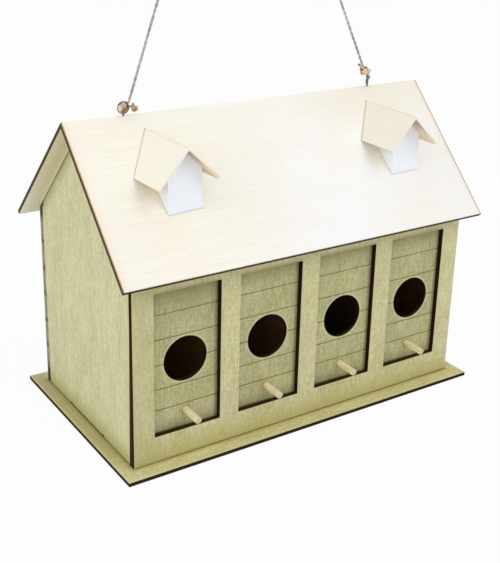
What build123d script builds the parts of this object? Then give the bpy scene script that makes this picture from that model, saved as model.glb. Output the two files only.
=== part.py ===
from build123d import *
from math import cos, radians, sin, tan
import os

# A row birdhouse of laser-cut plywood: four chambers under one gabled roof.
# It hangs by twine from two screw eyes.
# X runs along the ridge, -Y is the front with the entry holes, +Z is up.
# The origin is the middle of the base plate's underside.

# Plywood
ply = 3.0                    # base, walls, dividers and roof boards
frame_ply = 4.0              # the frame applied to the front
dormer_ply = 2.0             # the dormers' roof boards
fit_gap = 0.05               # play on each side of a tab, finger, dowel or screw

# Box
body_length = 300.0          # over the two gables
box_depth = 153.0            # front panel's face to rear panel's face
wall_height = 157.7          # base to roof at the box's front and rear faces
tab_length = 58.0            # tabs that stand in the base
finger_count = 6             # finger joints of the rear corners
finger_margin = 10.6         # below and above them

# Base plate
side_margin = 11.0
front_margin = 14.0
rear_margin = 13.0

# Front frame and the bays in it
chamber_count = 4
stile_width = 16.2           # between two openings
end_stile_width = 16.7
sill_height = 21.0
top_rail_height = 20.5

# Front panel
entry_diameter = 35.0
entry_height = 76.1          # hole's centre above the base
score_heights = (40.0, 56.7, 75.9, 95.8, 115.0)
score_width = 0.7
score_depth = 0.4
perch_diameter = 5.2
perch_reach = 19.5           # out of the panel
perch_height = 34.5
perch_chamfer = 0.3

# Roof
roof_pitch = 45.0
roof_slope = 131.9           # along the top face, ridge to eave
gable_overhang = 11.7

# Screw eyes and the blocks that they bite into
eye_insets = {"left": 36.0, "right": 41.1}      # from the outer face of the gable at that end
eye_turns = {"left": 0.0, "right": 44.0}        # the left ring faces the front
eye_wire = 1.5
eye_outer = 9.6
eye_sides = 10               # flats of the ring's wire
eye_rise = 5.3               # ring's centre above the ridge
eye_opening = 25.0           # degrees that the bent wire leaves open
eye_depth = 13.0             # screw below the ridge
eye_point = 2.5
block_length = 24.0
block_width = 20.0
block_side = 10.0

# Dormers, cut and glued on by hand, so the two differ a little and sit askew
dormer_insets = {"left": 54.4, "right": 44.8}   # from the outer face of the gable at that end
dormer_twists = {"left": 3.1, "right": 1.3}
dormer_widths = {"left": 28.1, "right": 26.9}
dormer_rises = {"left": 50.2, "right": 49.3}    # foot to the dormer's ridge
dormer_shifts = {"left": -2.2, "right": -2.8}   # dormer's ridge beside its body's middle
dormer_slopes = {"left": 36.0, "right": 33.8}   # along a roof board's top face
dormer_overhangs = {"left": 9.4, "right": 12.0}
dormer_drop = 83.2           # down the slope from the ridge to the body's foot
dormer_pitch = 46.0

# Twine, held taut from above the house
twine_diameter = 2.3
strand_starts = {"left": (4.6, 3.9), "right": (-4.9, 9.9)}     # across and up from the ring's middle
strand_leans = {"left": 18.8, "right": -26.1}                  # from the vertical, to the right
strand_lengths = {"left": 86.0, "right": 75.0}
end_knot_diameter = 8.0
knot_gap = 0.2               # round the eye's wire
hitch_angles = {"left": 20.0, "right": 90.0}                   # where the twine is tied round the ring
knot_lumps = {               # each across, up, diameter and height, from the ring's middle
    "left": ((0, 0, 6.6, 6.6), (6.2, 0.6, 4.0, 3.4), (8.9, -1.0, 4.9, 6.2)),
    "right": ((-3.3, 6.7, 7.6, 8.6),),
}
hitch_height = 4.6           # turns round the ring's wire, below the strand
hitch_width = 3.4
knot_taper = 0.3             # share of a knot's height that narrows at each end
knot_neck = 0.5              # a knot's width at its ends, as a share of its diameter

# Places that follow from the sizes
base_length = body_length + 2 * side_margin
base_depth = front_margin + frame_ply + box_depth + rear_margin
base_top = ply
frame_front = -base_depth / 2 + front_margin
panel_front = frame_front + frame_ply
panel_back = panel_front + ply
rear_back = panel_front + box_depth
rear_front = rear_back - ply
ridge_y = (panel_front + rear_back) / 2
slope = tan(radians(roof_pitch))
peak = base_top + wall_height + slope * box_depth / 2
ridge_z = peak + ply / cos(radians(roof_pitch))
frame_height = wall_height - slope * frame_ply
inner_stiles = (chamber_count - 1) * stile_width
opening_width = (body_length - 2 * end_stile_width - inner_stiles) / chamber_count
opening_height = frame_height - sill_height - top_rail_height
bay_pitch = opening_width + stile_width
bay_middles = [(bay - (chamber_count - 1) / 2) * bay_pitch for bay in range(chamber_count)]
gable_middle = body_length / 2 - ply / 2
ends = {"left": -1, "right": 1}
eye_places = {side: end * (body_length / 2 - eye_insets[side]) for side, end in ends.items()}
dormer_places = {side: end * (body_length / 2 - dormer_insets[side]) for side, end in ends.items()}
finger_height = (wall_height - 2 * finger_margin) / finger_count
finger_edges = [base_top + finger_margin + step * finger_height for step in range(finger_count + 1)]
corner_edges = [base_top] + finger_edges + [base_top + wall_height]
rear_fingers = list(zip(corner_edges[0::2], corner_edges[1::2]))
gable_fingers = list(zip(corner_edges[1::2], corner_edges[2::2]))

os.makedirs("parts", exist_ok=True)


def roof_underside(y):
    return peak - slope * abs(y - ridge_y)


def upright(y):
    """An upright plane that faces the front, at this depth."""
    return Plane.XZ.offset(-y)


# Base plate, with a slot for the tab of each wall
with BuildPart() as base_plate:
    with BuildSketch():
        Rectangle(base_length, base_depth)
        with Locations((0, frame_front + frame_ply / 2)):
            Rectangle(tab_length + 2 * fit_gap, frame_ply + 2 * fit_gap, mode=Mode.SUBTRACT)
        with Locations((0, rear_back - ply / 2)):
            Rectangle(tab_length + 2 * fit_gap, ply + 2 * fit_gap, mode=Mode.SUBTRACT)
        with Locations((-gable_middle, ridge_y), (gable_middle, ridge_y)):
            Rectangle(ply + 2 * fit_gap, tab_length + 2 * fit_gap, mode=Mode.SUBTRACT)
    extrude(amount=base_top)
base_plate.part.label = "base_plate"
export_step(base_plate.part, "parts/base_plate.step")

# Gables, notched at the rear for the fingers of the rear panel
for side, end in ends.items():
    with BuildPart() as gable:
        with BuildSketch(Plane.YZ.offset(end * gable_middle - ply / 2)):
            with BuildLine():
                Polyline(
                    (panel_back, base_top),
                    (rear_back, base_top),
                    (rear_back, roof_underside(rear_back)),
                    (ridge_y, peak),
                    (panel_back, roof_underside(panel_back)),
                    close=True,
                )
            make_face()
            with Locations((ridge_y, base_top / 2)):
                Rectangle(tab_length, base_top)
            for low, high in rear_fingers:
                with Locations((rear_back - ply / 2, (low + high) / 2)):
                    Rectangle(ply, high - low + 2 * fit_gap, mode=Mode.SUBTRACT)
        extrude(amount=ply)
    gable.part.label = f"gable_{side}"
    export_step(gable.part, f"parts/gable_{side}.step")

# Rear panel, with fingers through both gables
with BuildPart() as rear_panel:
    with BuildSketch(upright(rear_front)):
        with Locations((0, base_top + wall_height / 2)):
            Rectangle(body_length, wall_height)
        with Locations((0, base_top / 2)):
            Rectangle(tab_length, base_top)
        for low, high in gable_fingers:
            with Locations((-gable_middle, (low + high) / 2), (gable_middle, (low + high) / 2)):
                Rectangle(ply, high - low + 2 * fit_gap, mode=Mode.SUBTRACT)
    extrude(amount=-ply)
rear_panel.part.label = "rear_panel"
export_step(rear_panel.part, "parts/rear_panel.step")

# Front panel: entry holes, perch holes and scored boards in each bay
with BuildPart() as front_panel:
    with BuildSketch(upright(panel_front)):
        with Locations((0, base_top + wall_height / 2)):
            Rectangle(body_length, wall_height)
        with Locations([(middle, base_top + entry_height) for middle in bay_middles]):
            Circle(entry_diameter / 2, mode=Mode.SUBTRACT)
        with Locations([(middle, base_top + perch_height) for middle in bay_middles]):
            Circle(perch_diameter / 2 + fit_gap, mode=Mode.SUBTRACT)
    extrude(amount=-ply)
    with BuildSketch(upright(panel_front)):
        for height in score_heights:
            with Locations([(middle, base_top + height) for middle in bay_middles]):
                Rectangle(opening_width, score_width)
    extrude(amount=-score_depth, mode=Mode.SUBTRACT)
front_panel.part.label = "front_panel"
export_step(front_panel.part, "parts/front_panel.step")

# Front frame: stiles and rails cut in one sheet, with a tab in the base
with BuildPart() as front_frame:
    with BuildSketch(upright(frame_front)):
        with Locations((0, base_top + frame_height / 2)):
            Rectangle(body_length, frame_height)
        with Locations([(middle, base_top + sill_height + opening_height / 2) for middle in bay_middles]):
            Rectangle(opening_width, opening_height, mode=Mode.SUBTRACT)
        with Locations((0, base_top / 2)):
            Rectangle(tab_length, base_top)
    extrude(amount=-frame_ply)
front_frame.part.label = "front_frame"
export_step(front_frame.part, "parts/front_frame.step")

# Dividers behind the inner stiles, up to the roof
for number in range(1, chamber_count):
    divider_x = (number - chamber_count / 2) * bay_pitch
    with BuildPart() as divider:
        with BuildSketch(Plane.YZ.offset(divider_x - ply / 2)):
            with BuildLine():
                Polyline(
                    (panel_back, base_top),
                    (rear_front, base_top),
                    (rear_front, roof_underside(rear_front)),
                    (ridge_y, peak),
                    (panel_back, roof_underside(panel_back)),
                    close=True,
                )
            make_face()
        extrude(amount=ply)
    divider.part.label = f"divider_{number}"
    export_step(divider.part, f"parts/divider_{number}.step")

# Perches: dowels glued into the front panel
for number, middle in enumerate(bay_middles, start=1):
    with BuildPart() as perch:
        with BuildSketch(upright(panel_back)):
            with Locations((middle, base_top + perch_height)):
                Circle(perch_diameter / 2)
        extrude(amount=ply + perch_reach)
        chamfer(perch.edges().group_by(Axis.Y)[0], perch_chamfer)
    perch.part.label = f"perch_{number}"
    export_step(perch.part, f"parts/perch_{number}.step")

# Roof boards, square cut: the front one runs to the ridge and the rear one butts under it
roof_length = body_length + 2 * gable_overhang
ridge_point = (0, ridge_y, ridge_z)
front_normal = Vector(0, -sin(radians(roof_pitch)), cos(radians(roof_pitch)))
rear_normal = Vector(0, sin(radians(roof_pitch)), cos(radians(roof_pitch)))
front_slope = Plane(origin=ridge_point, x_dir=(1, 0, 0), z_dir=front_normal)
rear_slope = Plane(origin=ridge_point, x_dir=(1, 0, 0), z_dir=rear_normal)
eye_spots = [(x, ridge_y) for x in eye_places.values()]

with BuildPart() as roof_front:
    with BuildSketch(front_slope):
        with Locations((0, -roof_slope / 2)):
            Rectangle(roof_length, roof_slope)
    extrude(amount=-ply)
    with BuildSketch(Plane.XY.offset(ridge_z)):
        with Locations(eye_spots):
            Circle(eye_wire / 2 + fit_gap)
    extrude(amount=eye_depth, both=True, mode=Mode.SUBTRACT)
roof_front.part.label = "roof_front"
export_step(roof_front.part, "parts/roof_front.step")

with BuildPart() as roof_rear:
    with BuildSketch(rear_slope):
        with Locations((0, roof_slope / 2)):
            Rectangle(roof_length, roof_slope)
    extrude(amount=-ply)
    with BuildSketch(Plane.XY.offset(ridge_z)):
        with Locations(eye_spots):
            Circle(eye_wire / 2 + fit_gap)
    extrude(amount=eye_depth, both=True, mode=Mode.SUBTRACT)
    add(roof_front.part, mode=Mode.SUBTRACT)
roof_rear.part.label = "roof_rear"
export_step(roof_rear.part, "parts/roof_rear.step")

# Ridge blocks under the roof and the screw eyes that stand in them
ring_radius = (eye_outer - eye_wire) / 2
ring_z = ridge_z + eye_rise
block_shoulder = peak - slope * block_width / 2
ring_planes = {}
for side, eye_x in eye_places.items():
    with BuildPart() as ridge_block:
        with BuildSketch(Plane.YZ.offset(eye_x - block_length / 2)):
            with BuildLine():
                Polyline(
                    (ridge_y - block_width / 2, block_shoulder - block_side),
                    (ridge_y + block_width / 2, block_shoulder - block_side),
                    (ridge_y + block_width / 2, block_shoulder),
                    (ridge_y, peak),
                    (ridge_y - block_width / 2, block_shoulder),
                    close=True,
                )
            make_face()
        extrude(amount=block_length)
        with BuildSketch(Plane.XY.offset(ridge_z)):
            with Locations((eye_x, ridge_y)):
                Circle(eye_wire / 2 + fit_gap)
        extrude(amount=-eye_depth - fit_gap, mode=Mode.SUBTRACT)
    ridge_block.part.label = f"ridge_block_{side}"
    export_step(ridge_block.part, f"parts/ridge_block_{side}.step")

    turn = radians(eye_turns[side])
    across = Vector(cos(turn), sin(turn), 0)
    centre = Vector(eye_x, ridge_y, ring_z)
    foot = centre - Vector(0, 0, ring_radius)
    ring_planes[side] = Plane(origin=centre, x_dir=across, z_dir=across.cross(Vector(0, 0, 1)))
    with BuildPart() as screw_eye:
        with BuildSketch(Plane(origin=foot, x_dir=(0, 0, 1), z_dir=across)):
            RegularPolygon(eye_wire / 2, eye_sides)
        revolve(axis=Axis(centre, ring_planes[side].z_dir), revolution_arc=360 - eye_opening)
        with BuildSketch(Plane(origin=(eye_x, ridge_y, 0), x_dir=(1, 0, 0), z_dir=(0, -1, 0))):
            with BuildLine():
                Polyline(
                    (0, foot.Z),
                    (eye_wire / 2, foot.Z),
                    (eye_wire / 2, ridge_z - eye_depth + eye_point),
                    (0, ridge_z - eye_depth),
                    close=True,
                )
            make_face()
        revolve(axis=Axis((eye_x, ridge_y, 0), (0, 0, 1)))
    screw_eye.part.label = f"screw_eye_{side}"
    export_step(screw_eye.part, f"parts/screw_eye_{side}.step")

# Dormers: a solid white body and two thin roof boards, all cut to the main roof's slope
dormer_tilt = radians(dormer_pitch)
for side, dormer_x in dormer_places.items():
    dormer_foot = front_slope.from_local_coords(Vector(dormer_x, -dormer_drop, 0))
    twist = Axis((0, 0, 0), front_normal)
    along = Vector(1, 0, 0).rotate(twist, dormer_twists[side])
    up = Vector(0, 0, 1).rotate(twist, dormer_twists[side])
    back = up.cross(along)
    main_slope = Plane(origin=dormer_foot, z_dir=front_normal)
    half = dormer_widths[side] / 2
    shift = dormer_shifts[side]
    rise = dormer_rises[side]
    under_ridge = rise - dormer_ply / cos(dormer_tilt)

    with BuildPart() as dormer_body:
        with BuildSketch(Plane(origin=dormer_foot, x_dir=along, z_dir=-back)):
            with BuildLine():
                Polyline(
                    (-half, 0),
                    (half, 0),
                    (half, under_ridge - tan(dormer_tilt) * (half - shift)),
                    (shift, under_ridge),
                    (-half, under_ridge - tan(dormer_tilt) * (half + shift)),
                    close=True,
                )
            make_face()
        extrude(amount=-rise / slope)
        split(bisect_by=main_slope, keep=Keep.TOP)
    dormer_body.part.label = f"dormer_body_{side}"
    export_step(dormer_body.part, f"parts/dormer_body_{side}.step")

    dormer_ridge = dormer_foot + along * shift + up * rise - back * dormer_overhangs[side]
    board_length = dormer_overhangs[side] + rise / slope
    for hand, sign in ends.items():
        outward = up * cos(dormer_tilt) + along * (sign * sin(dormer_tilt))
        with BuildPart() as dormer_board:
            with BuildSketch(Plane(origin=dormer_ridge, x_dir=back, z_dir=outward)):
                with Locations((board_length / 2, -sign * dormer_slopes[side] / 2)):
                    Rectangle(board_length, dormer_slopes[side])
            extrude(amount=-dormer_ply)
            split(bisect_by=main_slope, keep=Keep.TOP)
            if hand == "left":
                butt_plane = Plane(origin=dormer_ridge - outward * dormer_ply, z_dir=outward)
            else:
                split(bisect_by=butt_plane, keep=Keep.BOTTOM)
        dormer_board.part.label = f"dormer_{side}_roof_{hand}"
        export_step(dormer_board.part, f"parts/dormer_{side}_roof_{hand}.step")


def knot_outline(diameter, height):
    """Half the outline of a knot that is pulled tight, from its axis out."""
    radius = diameter / 2
    return [
        (0, 0),
        (radius * knot_neck, 0),
        (radius, height * knot_taper),
        (radius, height * (1 - knot_taper)),
        (radius * knot_neck, height),
        (0, height),
    ]


# Twine: tied to each eye, straight from there and knotted above the house
wire_room = eye_wire / 2 + knot_gap
for side, ring in ring_planes.items():
    lean = radians(strand_leans[side])
    pull = Vector(sin(lean), 0, cos(lean))
    across_pull = Vector(cos(lean), 0, -sin(lean))
    start_across, start_up = strand_starts[side]
    start = ring.origin + Vector(start_across, 0, start_up)
    end = start + pull * strand_lengths[side]
    print("twine", side, "runs straight for", round((end - start).length, 1), "mm")

    with BuildPart() as strand:
        with BuildSketch(Plane(origin=start, z_dir=pull)):
            Circle(twine_diameter / 2)
        extrude(amount=strand_lengths[side])
    strand.part.label = f"twine_{side}"
    export_step(strand.part, f"parts/twine_{side}.step")

    with BuildPart() as end_knot:
        with BuildSketch(Plane(origin=end, x_dir=across_pull, z_dir=(0, -1, 0))):
            with BuildLine():
                Polyline(*knot_outline(end_knot_diameter, end_knot_diameter), close=True)
            make_face()
        revolve(axis=Axis(end, pull))
    end_knot.part.label = f"twine_end_{side}"
    export_step(end_knot.part, f"parts/twine_end_{side}.step")

    hitch = radians(hitch_angles[side])
    outward = ring.x_dir * cos(hitch) + Vector(0, 0, 1) * sin(hitch)
    wire_middle = ring.origin + outward * ring_radius
    hitch_plane = Plane(origin=wire_middle, x_dir=outward, z_dir=outward.cross(ring.z_dir))
    ring_section = Plane(origin=ring.origin + ring.x_dir * ring_radius, x_dir=ring.x_dir, z_dir=(0, 0, 1))
    with BuildPart() as eye_knot:
        for across, height, lump_diameter, lump_height in knot_lumps[side]:
            lump_foot = ring.origin + Vector(across, 0, height - lump_height / 2)
            with BuildSketch(Plane(origin=lump_foot, x_dir=(1, 0, 0), z_dir=(0, -1, 0))):
                with BuildLine():
                    Polyline(*knot_outline(lump_diameter, lump_height), close=True)
                make_face()
            revolve(axis=Axis(lump_foot, (0, 0, 1)))
        with BuildSketch(hitch_plane):
            Circle(wire_room + twine_diameter)
        extrude(amount=twine_diameter / 2, both=True)
        with BuildSketch(Plane(origin=start, z_dir=pull)):
            Circle(hitch_width / 2)
        extrude(amount=-hitch_height)
        with BuildSketch(ring_section):
            RegularPolygon(wire_room, eye_sides, major_radius=False)
        revolve(axis=Axis(ring.origin, ring.z_dir), mode=Mode.SUBTRACT)
        split(bisect_by=Plane(origin=start, z_dir=pull), keep=Keep.BOTTOM)
    eye_knot.part.label = f"twine_knot_{side}"
    export_step(eye_knot.part, f"parts/twine_knot_{side}.step")
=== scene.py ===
from collections import namedtuple
from math import cos, pi, radians, sin

import bmesh
import bpy
import numpy as np
from mathutils import Matrix, Vector


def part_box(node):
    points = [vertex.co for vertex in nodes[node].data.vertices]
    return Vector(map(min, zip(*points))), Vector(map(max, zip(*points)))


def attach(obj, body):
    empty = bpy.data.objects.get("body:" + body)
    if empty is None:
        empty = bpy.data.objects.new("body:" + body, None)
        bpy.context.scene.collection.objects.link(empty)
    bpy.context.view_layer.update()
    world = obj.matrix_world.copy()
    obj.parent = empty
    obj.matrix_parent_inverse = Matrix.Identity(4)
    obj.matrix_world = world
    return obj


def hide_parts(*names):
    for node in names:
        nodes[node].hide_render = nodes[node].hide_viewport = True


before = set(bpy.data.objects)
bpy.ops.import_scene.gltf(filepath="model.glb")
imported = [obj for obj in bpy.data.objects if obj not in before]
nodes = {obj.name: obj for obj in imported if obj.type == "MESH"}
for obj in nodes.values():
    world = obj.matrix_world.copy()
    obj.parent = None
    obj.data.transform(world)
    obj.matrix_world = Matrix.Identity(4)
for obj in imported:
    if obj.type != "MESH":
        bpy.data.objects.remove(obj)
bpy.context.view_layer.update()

scene = bpy.context.scene
mm = 0.001

# Places on the birdhouse that the looks follow: boxes of the solids, then sizes of the cuts in them
panelBox, frameBox, gableBox, roofBox, baseBox = (
    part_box(node) for node in ("front_panel", "front_frame", "gable_left", "roof_front", "base_plate"))
frameFront = frameBox[0].y
wallFront, wallBack = panelBox[0].y, gableBox[1].y
wallHalf, wallTop = -gableBox[0].x, panelBox[1].z
baseTop = baseBox[1].z
ridgeY, ridgeZ = (wallFront + wallBack) / 2, roofBox[1].z
house = {
    "bayPitch": 70.7 * mm,
    "bayWidth": 54.5 * mm,
    "bayHeight": 112.2 * mm,
    "bayFoot": 24.0 * mm,
    "holeRadius": 17.5 * mm,
    "holeHeight": 79.1 * mm,
    "perchRadius": 2.6 * mm,
    "perchHeight": 37.5 * mm,
    "roofPitch": radians(45),
    "roofSlope": 131.9 * mm,
    "tabWidth": 58 * mm,
}
halfBay = house["bayWidth"] / 2
bayTop = house["bayFoot"] + house["bayHeight"]


# Nodes by arithmetic: a Value is an output of a node, and each sum with it adds a node
def arithmetic(operation, swapped=False):
    return lambda self, other: calc(operation, *((other, self) if swapped else (self, other)))


class Value:
    def __init__(self, tree, socket):
        self.tree, self.socket = tree, socket

    __add__ = __radd__ = arithmetic("ADD")
    __mul__ = __rmul__ = arithmetic("MULTIPLY")
    __sub__, __rsub__ = arithmetic("SUBTRACT"), arithmetic("SUBTRACT", True)
    __truediv__, __rtruediv__ = arithmetic("DIVIDE"), arithmetic("DIVIDE", True)
    __mod__, __pow__ = arithmetic("MODULO"), arithmetic("POWER")

    def __abs__(self):
        return calc("ABSOLUTE", self)


Place = namedtuple("Place", "x y z")


def feed(socket, value):
    if isinstance(value, Value):
        value.tree.links.new(value.socket, socket)
    elif value is not None:
        socket.default_value = value


def addNode(tree, kind, inputs=(), **settings):
    # inputs go by name or in order
    node = tree.nodes.new(kind)
    for name, value in settings.items():
        setattr(node, name, value)
    for name, value in inputs.items() if isinstance(inputs, dict) else enumerate(inputs):
        feed(node.inputs[name], value)
    return node


def result(tree, kind, inputs=(), output=0, **settings):
    return Value(tree, addNode(tree, kind, inputs, **settings).outputs[output])


def outputsOf(tree, node):
    return {socket.name: Value(tree, socket) for socket in node.outputs}


def treeOf(values):
    return next(value.tree for value in values if isinstance(value, Value))


def calc(operation, *values, clamp=False):
    return result(treeOf(values), "ShaderNodeMath", values, operation=operation, use_clamp=clamp)


def vectorCalc(operation, *values):
    output = "Value" if operation in ("DOT_PRODUCT", "DISTANCE") else "Vector"
    return result(treeOf(values), "ShaderNodeVectorMath", values, output, operation=operation)


def times(*masks):
    joined = masks[0]
    for mask in masks[1:]:
        joined = joined * mask
    return joined


def hypotenuse(first, second):
    return calc("SQRT", first ** 2.0 + second ** 2.0)


def step(value, low, high):
    # rises smoothly from 0 to 1 between the limits, or falls where the first one is higher
    return result(value.tree, "ShaderNodeMapRange", (value, low, high), interpolation_type="SMOOTHSTEP")


def near(value, middle, reach, soft):
    # 1 within the reach of a middle value, fading out over the soft width
    return step(abs(value - middle), reach + soft, reach)


def noise(vector, scale, detail=2.0, roughness=0.5):
    inputs = {"Vector": vector, "Scale": scale, "Detail": detail, "Roughness": roughness}
    return result(vector.tree, "ShaderNodeTexNoise", inputs, "Fac")


def split(vector):
    node = addNode(vector.tree, "ShaderNodeSeparateXYZ", (vector,))
    return Place(*outputsOf(vector.tree, node).values())


def rgb(red, green, blue):
    # a colour as a picture editor shows it, made linear
    def linear(value):
        value /= 255
        return value / 12.92 if value <= 0.04045 else ((value + 0.055) / 1.055) ** 2.4
    return (linear(red), linear(green), linear(blue), 1.0)


def darker(colour, share):
    return tuple(value * share for value in rgb(*colour)[:3]) + (1.0,)


def mixColour(factor, first, second):
    # three numbers are a picture editor's colour
    first, second = (rgb(*c) if isinstance(c, tuple) and len(c) == 3 else c for c in (first, second))
    inputs = {0: factor, 6: first, 7: second}
    return result(treeOf((factor, first, second)), "ShaderNodeMix", inputs, 2, data_type="RGBA")


def tint(colour, mask, strength, shade):
    # lays one colour over another where the mask says
    return mixColour(mask * strength, colour, shade)


# lays one layer of colour, used for stain and for painted shade alike
def colourLayer(colour, layer, value, *masks):
    # a layer starts where the value has its first number of millimetres and is full at the second
    start, full, strength, shade = layer
    return tint(colour, times(step(value, start * mm, full * mm), *masks), strength, shade)


def colourLayers(colour, layers, *rows):
    # each row names a layer, the value that it follows and the masks that it stays within
    for name, value, *masks in rows:
        colour = colourLayer(colour, layers[name], value, *masks)
    return colour


def newPiece(name, data):
    piece = bpy.data.objects.new(name, data)
    scene.collection.objects.link(piece)
    return piece


def meshFrom(bm, name):
    mesh = bpy.data.meshes.new(name)
    bm.to_mesh(mesh)
    bm.free()
    return mesh


def joinMeshes(name, pieces):
    bm = bmesh.new()
    for piece in pieces:
        bm.from_mesh(piece.data)
    return meshFrom(bm, name)


# Camera
cameraSet = {
    "place": (-0.43673, -0.66022, 0.42788),
    "azimuth": -35.3385,
    "elevation": 20.529,
    "roll": 2.1715,
    "lens": 66.768,
    "shiftX": -0.06531,
    "shiftY": -0.08475,
}


def makeCamera(values):
    azimuth, elevation, roll = (radians(values[k]) for k in ("azimuth", "elevation", "roll"))
    back = Vector((sin(azimuth) * cos(elevation), -cos(azimuth) * cos(elevation), sin(elevation)))
    right = Vector((0, 0, 1)).cross(back).normalized()
    up = back.cross(right)
    rolledRight = cos(roll) * right + sin(roll) * up
    rolledUp = cos(roll) * up - sin(roll) * right
    data = bpy.data.cameras.new("camera")
    data.lens = values["lens"]
    data.sensor_width = 36
    data.shift_x = values["shiftX"]
    data.shift_y = values["shiftY"]
    data.clip_start = 0.01
    data.clip_end = 50
    camera = newPiece("camera", data)
    turn = Matrix((rolledRight, rolledUp, back)).transposed().to_4x4()
    camera.matrix_world = Matrix.Translation(values["place"]) @ turn
    scene.camera = camera


makeCamera(cameraSet)
print("camera is set")

# Twine
twine = {
    "diameter": 2.3 * mm,
    "plies": 2,
    "plyRadius": 0.63 * mm,
    "plyOffset": 0.38 * mm,
    "lay": 9.0 * mm,             # one full turn of the plies
    "step": 0.3 * mm,            # between two rings of the mesh
    "sides": 14,
    "lobes": 5,
    "lobeDepth": 0.08,
    "lobeTwist": 2.4,            # the lobes' turns for each turn of the plies
    "unevenness": 0.08,          # of the plies' radius
    "unevenLength": 9 * mm,
    "slip": 0.25,                # of the plies' turn, in radians
    "slipLength": 14 * mm,
    "uvLength": 10 * mm,
    "uvTwist": 0.4,              # fibres lean with the plies' turn
    "uvShift": 0.37,             # so that the plies don't match
    "coilSteps": 13,             # points for each turn
    "barrelSteps": 14,
}
eyes = {
    "left": {"centre": (-114.0, 2.5, 246.743), "turn": 0.0},
    "right": {"centre": (108.9, 2.5, 246.743), "turn": 44.0},
}
strands = {
    "left": {"start": (4.6, 3.9), "lean": 18.8, "length": 86.0, "seed": 3},
    "right": {"start": (-4.9, 9.9), "lean": -26.1, "length": 75.0, "seed": 8},
}
endKnot = {
    "middle": 3.4,               # beyond the strand's end
    "size": 6.6,
    "thickness": 3.2,
    "turn": 20,
    "tilt": 60,
    "tail": 7.4,
    "squeeze": 0.75,
    "seed": 40,
}


def readRoute(points, order=3, fineness=16):
    # a NURBS line through the air, given back as its own even points
    curve = bpy.data.curves.new("route", "CURVE")
    curve.dimensions = "3D"
    spline = curve.splines.new("NURBS")
    spline.points.add(len(points) - 1)
    for point, place in zip(spline.points, points):
        point.co = (*place, 1)
    spline.order_u = order
    spline.use_endpoint_u = True
    spline.resolution_u = fineness
    holder = newPiece("route", curve)
    bpy.context.view_layer.update()
    graph = bpy.context.evaluated_depsgraph_get()
    mesh = bpy.data.meshes.new_from_object(holder.evaluated_get(graph))
    line = np.array([v.co for v in mesh.vertices])
    bpy.data.objects.remove(holder)
    bpy.data.curves.remove(curve)
    bpy.data.meshes.remove(mesh)
    return line


def evenly(line, gap):
    gaps = np.linalg.norm(np.diff(line, axis=0), axis=1)
    along = np.concatenate([[0], np.cumsum(gaps)])
    count = max(4, int(round(along[-1] / gap)) + 1)
    marks = np.linspace(0, along[-1], count)
    return np.stack([np.interp(marks, along, line[:, axis]) for axis in range(3)], axis=1), marks


def headings(line):
    heading = np.gradient(line, axis=0)
    return heading / np.linalg.norm(heading, axis=1, keepdims=True)


def carriedFrames(line):
    # two directions across the line, carried along it without a twist
    heading = headings(line)
    first = np.cross(heading[0], (0.3, 1.0, 0.2))
    across = [first / np.linalg.norm(first)]
    for direction in heading[1:]:
        carried = across[-1] - direction * (across[-1] @ direction)
        across.append(carried / np.linalg.norm(carried))
    across = np.array(across)
    return across, np.cross(heading, across)


def wander(rng, marks, wavelength, count=4):
    # a smooth line of noise between about -1 and 1
    total = np.zeros_like(marks)
    for _ in range(count):
        total += np.sin(2 * pi * marks / (wavelength * rng.uniform(0.5, 1.6)) + rng.uniform(0, 2 * pi))
    return total / count


def twistTwine(name, line, values, seed, squeeze=1.0):
    # plies wound round the line, each a lobed tube with closed ends and its own UV map
    rng = np.random.default_rng(seed)
    points, marks = evenly(line, values["step"])
    across, upward = carriedFrames(points)
    sides = values["sides"]
    bm = bmesh.new()
    uvLayer = bm.loops.layers.uv.new("fibre")
    startPhase = rng.uniform(0, 2 * pi)
    for ply in range(values["plies"]):
        swell = 1 + values["unevenness"] * wander(rng, marks, values["unevenLength"])
        phase = startPhase + 2 * pi * ply / values["plies"] + 2 * pi * marks / values["lay"]
        phase = phase + values["slip"] * wander(rng, marks, values["slipLength"])
        offset = values["plyOffset"] * squeeze
        centres = points + offset * (np.cos(phase)[:, None] * across + np.sin(phase)[:, None] * upward)
        radius = values["plyRadius"] * squeeze * swell
        rings = []
        for i, centre in enumerate(centres):
            ring = []
            for side in range(sides):
                angle = 2 * pi * side / sides
                lobe = values["lobes"] * (angle + values["lobeTwist"] * phase[i])
                reach = radius[i] * (1 + values["lobeDepth"] * cos(lobe))
                outward = cos(angle) * across[i] + sin(angle) * upward[i]
                ring.append(bm.verts.new(centre + reach * outward))
            rings.append(ring)
        for i, (low, high) in enumerate(zip(rings, rings[1:])):
            for side in range(sides):
                after = (side + 1) % sides
                face = bm.faces.new((low[side], low[after], high[after], high[side]))
                face.smooth = True
                corners = ((side, i), (side + 1, i), (side + 1, i + 1), (side, i + 1))
                for loop, (turn, row) in zip(face.loops, corners):
                    around = turn / sides + values["uvTwist"] * phase[row] + values["uvShift"] * ply
                    loop[uvLayer].uv = (around, marks[row] / values["uvLength"])
        for ring, flip in ((rings[0], True), (rings[-1], False)):
            middle = bm.verts.new(sum((v.co for v in ring), Vector()) / sides)
            for side in range(sides):
                pair = (ring[side], ring[(side + 1) % sides])
                face = bm.faces.new((pair[1], pair[0], middle) if flip else (pair[0], pair[1], middle))
                for loop in face.loops:
                    loop[uvLayer].uv = (0.5, 0.5)
    bmesh.ops.recalc_face_normals(bm, faces=bm.faces)
    return newPiece(name, meshFrom(bm, name))


def ringPoint(side, across, depth, up):
    # a place in millimetres from the middle of an eye's ring: right, back and up
    centre = eyes[side]["centre"]
    return Vector((centre[0] + across, centre[1] + depth, centre[2] + up)) * mm


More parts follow.
